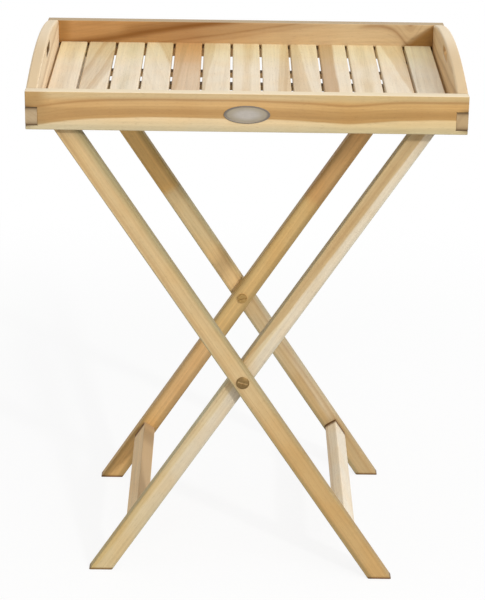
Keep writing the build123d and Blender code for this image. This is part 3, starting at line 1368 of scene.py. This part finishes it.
    def screw_points(self) -> Object:
        """Makes one point for each screw, which carries the way its head faces.

        Returns:
            The points.
        """
        spots: list[Vector] = []
        ways: list[Vector] = []
        for cut in self.battens:
            depth, foot = centre(cut.node).y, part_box(cut.node)[0].z
            for across in (centre(name).x for name in self.slat_names()):
                if abs(across) < self.batten_reach:
                    spots.append(Vector((across, depth, foot)))
                    ways.append(Vector((0.0, 0.0, -1.0)))
        for side, node in ((1.0, "left_ledger"), (-1.0, "right_ledger")):
            low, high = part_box(node)
            face = high.x if side > 0 else low.x
            for depth in self.ledger_screws:
                spots.append(Vector((face, depth, centre(node).z)))
                ways.append(Vector((side, 0.0, 0.0)))
        return place_points("deck_screws", spots, {"facing": ways})

    def build_screws(self) -> None:
        """Grows the screw heads with their cross recesses and dresses them."""
        material = Bronze(dark=(120, 100, 70), worn_and_glint=(190, 168, 126), wear=0.5).material("screw_bronze")
        sizes = {
            "Head Radius": self.screw_radius,
            "Head Height": self.screw_height,
            "Recess Width": self.recess_width,
            "Recess Length": self.recess_length,
        }
        sprout = Sprout("screw_rows", sizes, self.seed, material)
        bench = sprout.bench
        radius = sprout.size("Head Radius")
        height = sprout.size("Head Height")
        sockets = {
            "Vertices": self.screw_sides,
            "Side Segments": 1,
            "Radius Top": radius * self.screw_top_share,
            "Radius Bottom": radius,
            "Depth": height * 2,
        }
        cone = bench.out("GeometryNodeMeshCone", {"fill_type": "NGON"}, sockets)
        lowered = {"Geometry": cone, "Translation": bench.triple(0.0, 0.0, height * -1)}
        head = bench.out("GeometryNodeTransform", {}, lowered)
        sides = [sprout.size(label) for label in ("Recess Length", "Recess Width")]
        arm = bench.triple(*sides, height * self.recess_share)
        turns = (self.screw_turn, self.screw_turn + 90.0)
        cut = sprout.carve("DIFFERENCE", head, [sprout.block(arm, turn, height) for turn in turns])
        settings = {"data_type": "FLOAT_VECTOR"}
        facing = bench.out("GeometryNodeInputNamedAttribute", settings, {"Name": "facing"})
        turn = bench.out("FunctionNodeAlignRotationToVector", {"axis": "Z"}, {"Vector": facing})
        carrier = self.screw_points()
        sprout.grow(sprout.inputs["Geometry"], cut, turn, carrier)
        finish_piece(carrier, self.body, [material], [])

    def build(self) -> None:
        """Builds slats, battens and screws."""
        self.build_slats()
        self.build_battens()
        self.build_screws()


@dataclass
class Plate:
    """The blank oval plate on the front rail: a raised rounded rim round a slightly domed field."""

    node: str = "badge_plate"
    segments: int = 96
    profile: tuple[tuple[float, float], ...] = (
        (0.00000, 0.0000),
        (0.00000, 0.0008),
        (0.00025, 0.0011),
        (0.00070, 0.0012),
        (0.00130, 0.0012),
        (0.00175, 0.0010),
        (0.00200, 0.0007),
        (0.00260, 0.0007),
        (0.00600, 0.0009),
        (0.01000, 0.0010),
    )
    body: str = "tray"

    def build(self) -> None:
        """Builds the plate ring by ring, each inset and raised by the profile, and dresses it."""
        low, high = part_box(self.node)
        half_length = (high.x - low.x) / 2
        half_height = (high.z - low.z) / 2
        middle = Vector(((low.x + high.x) / 2, high.y, (low.z + high.z) / 2))
        rings = []
        for inset, rise in self.profile:
            front = middle - Vector((0.0, rise, 0.0))
            rings.append(oval(front, half_length - inset, half_height - inset, self.segments))
        piece = place_rings("oval_plate", rings)
        smooth(piece)
        metal = PlateMetal(tuple(middle), half_length, half_height).material("plate_metal")
        finish_piece(piece, self.body, [metal], [self.node])


@dataclass
class Stand:
    """The cross-legged stand: four legs and four tenoned bars."""

    nodes: dict[str, Object]
    edge: float = 0.0008
    bar_edge: float = 0.0006
    pivot_height: float = 0.316
    # painted contact shade on the feet just above the floor
    foot_shade_range: Range = (0.005, 0.001)
    foot_shade_colour: Colour = (152, 132, 106)
    # painted contact shade where the bars' shoulders meet the legs
    shoulder_shade_range: Range = (0.016, 0.005)
    shoulder_shade_colour: Colour = (110, 82, 50)
    slot: str = "stand_teak"

    def outer_legs(self) -> dict[str, Teak]:
        """Gives the legs of the outer frame the teak that they are sawn from.

        Returns:
            The finishes by node name.
        """
        foot_shade = self.foot_shade(Grain.DOWN_OUTER_LEG)
        # painted shade on the side strips along both long edges, which the lamps light
        upper_edge_shade = Drift(0.0065, 0.0195, (205, 216, 214), 90.7)
        lower_edge_shade = Drift(0.0085, 0.0135, (220, 228, 230), -89.55)
        front = Teak(
            grain=Grain.DOWN_OUTER_LEG,
            middle=(0.0, -0.182, self.pivot_height),
            heart=(213, 184, 135),
            sap=(220, 200, 164),
            line=(166, 124, 72),
            pith_across=-0.050,
            pith_deep=0.02,
            band_depth=0.35,
            sway=0.006,
            drifts=(Drift(0.0, 0.16, (204, 168, 112)),),
            # painted shade on the upper and lower edges, and painted contact shade at the foot
            tones=(upper_edge_shade, Drift(0.0095, 0.0145, (240, 242, 243), 90.0), lower_edge_shade, foot_shade),
            seed=51.0,
        )
        rear = replace(
            front,
            middle=(0.0, 0.164, self.pivot_height),
            heart=(224, 196, 146),
            drifts=(
                Drift(-0.10, 0.08, (209, 185, 142)),
                Drift(0.12, 0.20, (203, 172, 122)),
                Drift(0.008, 0.015, (216, 194, 157), 87.5),
                Drift(0.24, 0.29, (198, 169, 122)),
                # Painted light: a brighter band above the rear crossing against the inner front leg's shadow,
                # then back to the base colour.
                Drift(0.000, 0.020, (246, 209, 149), 180.0),
                Drift(0.065, 0.105, (222, 196, 146), 180.0),
                # painted warm bounce light in the tray's shadow at the top, its edge on that shadow's edge
                Drift(0.198, 0.212, (230, 188, 118), 180.0),
            ),
            # painted shade on the upper and lower edges, and painted contact shade at the foot
            tones=(upper_edge_shade, lower_edge_shade, foot_shade),
            streaks=(Streak(0.0548, 0.0018, 0.25, (0.03, 0.24)),),
            seed=57.1,
        )
        return {"outer_front_leg": front, "outer_rear_leg": rear}

    def inner_legs(self) -> dict[str, Teak]:
        """Gives the legs of the inner frame the teak that they are sawn from.

        Returns:
            The finishes by node name.
        """
        foot_shade = self.foot_shade(Grain.UP_INNER_LEG)
        front = Teak(
            grain=Grain.UP_INNER_LEG,
            middle=(0.0, -0.163, self.pivot_height),
            heart=(199, 172, 126),
            sap=(220, 205, 178),
            line=(166, 124, 72),
            pith_across=0.030,
            pith_deep=0.010,
            lean=-0.0136,
            reach=0.0291,
            band_depth=0.35,
            sway=0.006,
            drifts=(Drift(-0.0150, -0.0120, (219, 200, 160), -95.7),),
            # The second and third tones are painted shade on the eased edges; the last is painted contact
            # shade at the foot.
            tones=(
                Drift(0.05, 0.40, (249, 238, 207), 180.0),
                Drift(0.0095, 0.0140, (238, 244, 248), -90.0),
                Drift(0.0120, 0.0150, (238, 246, 242), 90.0),
                foot_shade,
            ),
            streaks=(Streak(0.0244, 0.0012, 0.28, (0.18, 0.40)),),
            seed=61.3,
        )
        rear = replace(
            front,
            middle=(0.0, 0.145, self.pivot_height),
            heart=(224, 187, 124),
            sap=(214, 184, 134),
            lean=0.0,
            reach=0.200,
            drifts=(
                Drift(0.05, 0.11, (224, 182, 125), 180.0),
                Drift(0.20, 0.27, (226, 182, 118), 180.0),
                # painted shade, warm as bounce light, in the tray's shadow at the top, with a sharp edge
                # where that shadow ends
                Drift(0.186, 0.202, (215, 170, 110)),
            ),
            # painted shade on both eased edges and painted contact shade at the foot
            tones=(
                Drift(0.002, 0.013, (204, 206, 204), -90.0),
                Drift(0.004, 0.014, (226, 230, 228), 90.0),
                foot_shade,
            ),
            streaks=(),
            seed=67.8,
        )
        return {"inner_front_leg": front, "inner_rear_leg": rear}

    def bars(self) -> dict[str, Teak]:
        """Gives the bars between the legs the teak that they are sawn from.

        Returns:
            The finishes by node name.
        """
        outer = Teak(
            grain=Grain.ALONG_SLAT,
            middle=(0.154, 0.0, 0.082),
            heart=(247, 231, 202),
            sap=(249, 236, 213),
            line=(180, 140, 92),
            pith_across=0.010,
            reach=0.030,
            blur=0.004,
            band_depth=0.3,
            tones=self.shoulders(0.164),
            seed=71.2,
        )
        inner = replace(
            outer,
            middle=(-0.154, 0.0, 0.082),
            heart=(246, 212, 160),
            reach=0.2,
            tones=self.shoulders(0.145),
            seed=81.4,
        )
        return {
            "outer_stretcher": outer,
            "outer_top_rail": replace(outer, middle=(-0.250, 0.0, 0.690), heart=(206, 170, 116), seed=75.9),
            # painted shade on the left bar's up-facing faces
            "inner_stretcher": replace(inner, rim=(204, 173, 131), painted_top_depth=0.9),
            "inner_top_rail": replace(inner, middle=(0.250, 0.0, 0.690), heart=(204, 168, 114), seed=86.6),
        }

    def foot_shade(self, grain: Grain) -> Drift:
        """Paints contact shade on the last millimetres above the floor of a leg with this grain."""
        start, end = (self.pivot_height - above for above in self.foot_shade_range)
        return Drift(start, end, self.foot_shade_colour, grain.value[1] - 90.0)

    def shoulders(self, reach: float) -> tuple[Drift, ...]:
        """Paints contact shade on a bar where its shoulders, this far from its middle, meet the legs."""
        start, end = (reach - before for before in self.shoulder_shade_range)
        return tuple(Drift(start, end, self.shoulder_shade_colour, turn) for turn in (0.0, 180.0))

    def build(self) -> None:
        """Eases every leg and bar and dresses it."""
        for node, teak in (self.outer_legs() | self.inner_legs() | self.bars()).items():
            edge = self.edge if node.endswith("leg") else self.bar_edge
            wood = soften(self.nodes[node], f"{node}_wood", edge)
            body = "outer_frame" if node.startswith("outer") else "inner_frame"
            finish_piece(wood, body, [teak.material(f"{node}_teak")], [node])


@dataclass
class Pivots:
    """The pivot hardware: domed slotted bolts, washers and sleeve nuts."""

    nodes: dict[str, Object]
    pivot_height: float = 0.316
    head_radius: float = 0.0095
    head_height: float = 0.0028
    head_bevel: float = 0.0002
    head_side: float = 0.0003
    dome_foot: float = 0.0006
    shank_radius: float = 0.0030
    slot_width: float = 0.0024
    slot_depth: float = 0.0012
    slot_tilt: float = 15.0
    floor_margin: float = 0.0001
    floor_facing: float = 0.9
    smooth_limit: float = 35.0
    segments: int = 48
    dome_steps: int = 8
    body: str = "outer_frame"
    slot: str = "dark_bronze"

    def outline(self, shank: float) -> list[tuple[float, float]]:
        """Gives a bolt's outline, as radius and height over the head's seat.

        Args:
            shank: The length of the shank below the head.

        Returns:
            The outline from the end of the shank to just below the top of the dome.
        """
        outline = [
            (self.shank_radius, -shank),
            (self.shank_radius, 0.0),
            (self.head_radius - self.head_bevel, 0.0),
            (self.head_radius, self.head_side),
        ]
        dome = self.head_height - self.dome_foot
        ball = (self.head_radius**2 + dome**2) / (2 * dome)
        for step in range(self.dome_steps):
            radius = self.head_radius * (1 - step / self.dome_steps)
            outline.append((radius, self.head_height - ball + sqrt(ball**2 - radius**2)))
        return outline

    def slot_cutter(self, top: Vector) -> Object:
        """Makes the block that cuts a screwdriver slot across a bolt head.

        Args:
            top: The top of the dome.

        Returns:
            The cutter.
        """
        cutter = bmesh.new()
        bmesh.ops.create_cube(cutter, size=1.0)
        size = Matrix.Diagonal((3 * self.head_radius, 2 * self.slot_depth, self.slot_width, 1.0))
        tilt = Matrix.Rotation(radians(self.slot_tilt), 4, "Y")
        cutter.transform(Matrix.Translation(top) @ tilt @ size)
        return place_shape(cutter, "slot_cutter")

    def bolt(self, where: str, side: float, materials: list[Material]) -> None:
        """Makes a slotted bolt, with the slot's floor in a lighter finish, a painted highlight.

        Args:
            where: Front or rear.
            side: The side of the stand, -1 at the front and 1 at the rear.
            materials: The dark finish and the lighter finish of the slot's painted highlight.
        """
        node = f"{where}_pivot_bolt"
        low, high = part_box(node)
        top = Vector((0.0, low.y if side < 0 else high.y, self.pivot_height))
        rings = []
        for radius, height in self.outline((high.y - low.y) - self.head_height):
            middle = top + Vector((0.0, side * (height - self.head_height), 0.0))
            rings.append(oval(middle, radius, radius, self.segments))
        piece = place_rings(f"{where}_bolt", rings, top)
        cutter = self.slot_cutter(top)
        cut = piece.modifiers.new("slot", "BOOLEAN")
        cut.operation = "DIFFERENCE"
        cut.solver = "EXACT"
        cut.object = cutter
        settle(piece)
        bpy.data.objects.remove(cutter)
        smooth(piece, self.smooth_limit)
        finish_piece(piece, self.body, materials, [node])
        # the slot's floor takes the painted highlight
        floor = top.y - side * self.slot_depth
        for face in piece.data.polygons:
            at_floor = abs(face.center.y - floor) < self.floor_margin
            if at_floor and abs(face.normal.y) > self.floor_facing:
                face.material_index = 1

    def build(self) -> None:
        """Makes both bolts and dresses washers and nuts."""
        dark = Bronze().material("dark_bronze")
        # a lighter bronze for the slot's floor, a painted highlight
        worn_and_glint = Bronze(dark=(172, 142, 95), worn_and_glint=(194, 165, 118), wear=0.6).material("slot_glint_bronze")
        brass = Bronze(dark=(172, 138, 82), worn_and_glint=(200, 166, 106), wear=0.5).material("aged_brass")
        for where, side in (("front", -1.0), ("rear", 1.0)):
            self.bolt(where, side, [dark, worn_and_glint])
            for fitting, finish in (("sleeve_nut", brass), ("pivot_washer", dark)):
                node = self.nodes[f"{where}_{fitting}"]
                node.data.materials.clear()
                node.data.materials.append(finish)
                LOG.info("%s keeps its shape", node.name)


@dataclass(frozen=True)
class Lamp:
    """A soft round lamp: its angle to the right of the front and its height, in degrees, and how it shines.

    The level is how brightly it lights a white surface that faces it, where 1 is white.
    """

    name: str
    azimuth: float
    height: float
    distance: float
    size: float
    level: float

    def hang(self, aim: Vector) -> None:
        """Hangs the lamp so that it faces a point.

        Args:
            aim: The point.
        """
        azimuth, height = radians(self.azimuth), radians(self.height)
        away = Vector((sin(azimuth) * cos(height), -cos(azimuth) * cos(height), sin(height))) * self.distance
        data = bpy.data.lights.new(self.name, "AREA")
        data.shape = "DISK"
        data.size = self.size
        data.energy = self.level * (pi * self.distance) ** 2
        lamp = bpy.data.objects.new(self.name, data)
        bpy.context.scene.collection.objects.link(lamp)
        pose = (-away).to_track_quat("-Z", "Y").to_matrix().to_4x4()
        pose.translation = aim + away
        lamp.matrix_world = pose


@dataclass
class Studio:
    """A pale floor, soft light from the front right and the camera."""

    image_height: int = 600
    focal_pixels: float = 2130.6
    sensor_width: float = 36.0
    eye: Point = (-0.0238, -2.9677, 1.5586)
    pitch: float = 21.809
    yaw: float = 0.447
    roll: float = 0.871
    floor_half: float = 7.0
    floor_level: float = -0.0005
    floor_white: float = 0.86
    floor_fade: Range = (0.7, 1.5)
    floor_grey: float = 0.60
    floor_pale: float = 0.95
    ambient: float = 0.49
    aim: Point = (0.0, 0.0, 0.5)
    lamps: tuple[Lamp, ...] = (
        Lamp("key_lamp", 31.5, 27.0, 8.0, 0.5, 0.38),
        Lamp("side_lamp", 30.0, 40.0, 5.0, 4.0, 0.37),
        Lamp("top_lamp", 0.0, 90.0, 3.0, 2.5, 0.16),
    )

    def camera(self) -> None:
        """Sets up the camera at the photograph's viewing angle."""
        pitch, yaw, roll = radians(self.pitch), radians(self.yaw), radians(self.roll)
        ahead = Vector((sin(yaw) * cos(pitch), cos(yaw) * cos(pitch), -sin(pitch)))
        level = ahead.cross(Vector((0.0, 0.0, 1.0))).normalized()
        upright = level.cross(ahead)
        right = level * cos(roll) + upright * sin(roll)
        up = upright * cos(roll) - level * sin(roll)
        lens = bpy.data.cameras.new("portrait_camera")
        lens.sensor_width = self.sensor_width
        lens.lens = self.focal_pixels * self.sensor_width / self.image_height
        camera = bpy.data.objects.new("portrait_camera", lens)
        bpy.context.scene.collection.objects.link(camera)
        pose = Matrix((right, up, -ahead)).transposed().to_4x4()
        pose.translation = self.eye
        camera.matrix_world = pose
        bpy.context.scene.camera = camera

    def seen(self, bench: Bench) -> Wire:
        """Tells the rays that look at the background from those that light the table.

        Args:
            bench: The bench that wires the background.

        Returns:
            1 for a ray that looks and 0 for one that lights.
        """
        path = bench.node("ShaderNodeLightPath")
        names = ("Is Camera Ray", "Is Glossy Ray", "Is Transmission Ray")
        camera, glossy, through = (Wire(bench, path.outputs[name]) for name in names)
        return bench.maths("MAXIMUM", bench.maths("MAXIMUM", camera, glossy), through)

    def world(self) -> None:
        """Makes an even white surround."""
        world = bpy.data.worlds.new("white_surround")
        world.use_nodes = True
        bpy.context.scene.world = world
        bench = Bench(world.node_tree)
        lit = bench.out("ShaderNodeBackground", {}, {"Color": WHITE, "Strength": self.ambient})
        plain = bench.out("ShaderNodeBackground", {}, {"Color": WHITE, "Strength": 1.0})
        mix = bench.out("ShaderNodeMixShader", {}, {0: self.seen(bench), 1: lit, 2: plain})
        bench.node("ShaderNodeOutputWorld", {}, {"Surface": mix})

    def floor(self) -> None:
        """Lays a pale floor that keeps a faint shadow."""
        half = self.floor_half
        corners = ((-half, -half), (half, -half), (half, half), (-half, half))
        mesh = bpy.data.meshes.new("studio_floor")
        mesh.from_pydata([(*corner, self.floor_level) for corner in corners], [], [(0, 1, 2, 3)])
        floor = place_piece(mesh, "studio_floor")
        material, bench = shader_bench("studio_white")
        grey, pale = ((shade, shade, shade, 1.0) for shade in (self.floor_grey, self.floor_pale))
        matt = bench.out("ShaderNodeBsdfDiffuse", {}, {"Color": bench.blend(self.seen(bench), grey, pale)})
        glow = bench.out("ShaderNodeEmission", {}, {"Color": WHITE, "Strength": 1.0})
        right, back, _ = bench.split(bench.place())
        white = self.floor_white + right.diagonal(back).rise(*self.floor_fade) * (1 - self.floor_white)
        mix = bench.out("ShaderNodeMixShader", {}, {0: self.seen(bench) * white, 1: matt, 2: glow})
        bench.node("ShaderNodeOutputMaterial", {}, {"Surface": mix})
        mesh.materials.append(material)

    def build(self) -> None:
        """Sets the stage, the light, the camera and the plain view of colour."""
        self.floor()
        self.world()
        for lamp in self.lamps:
            lamp.hang(Vector(self.aim))
        self.camera()
        bpy.context.scene.view_settings.view_transform = "Standard"


def main() -> None:
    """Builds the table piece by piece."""
    logging.basicConfig(level=logging.INFO, format="%(message)s")
    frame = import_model()
    nodes = frame["nodes"]
    TrayFrame(nodes).build()
    Deck(nodes).build()
    Plate().build()
    Stand(nodes).build()
    Pivots(nodes).build()
    Studio().build()


if __name__ == "__main__":
    main()
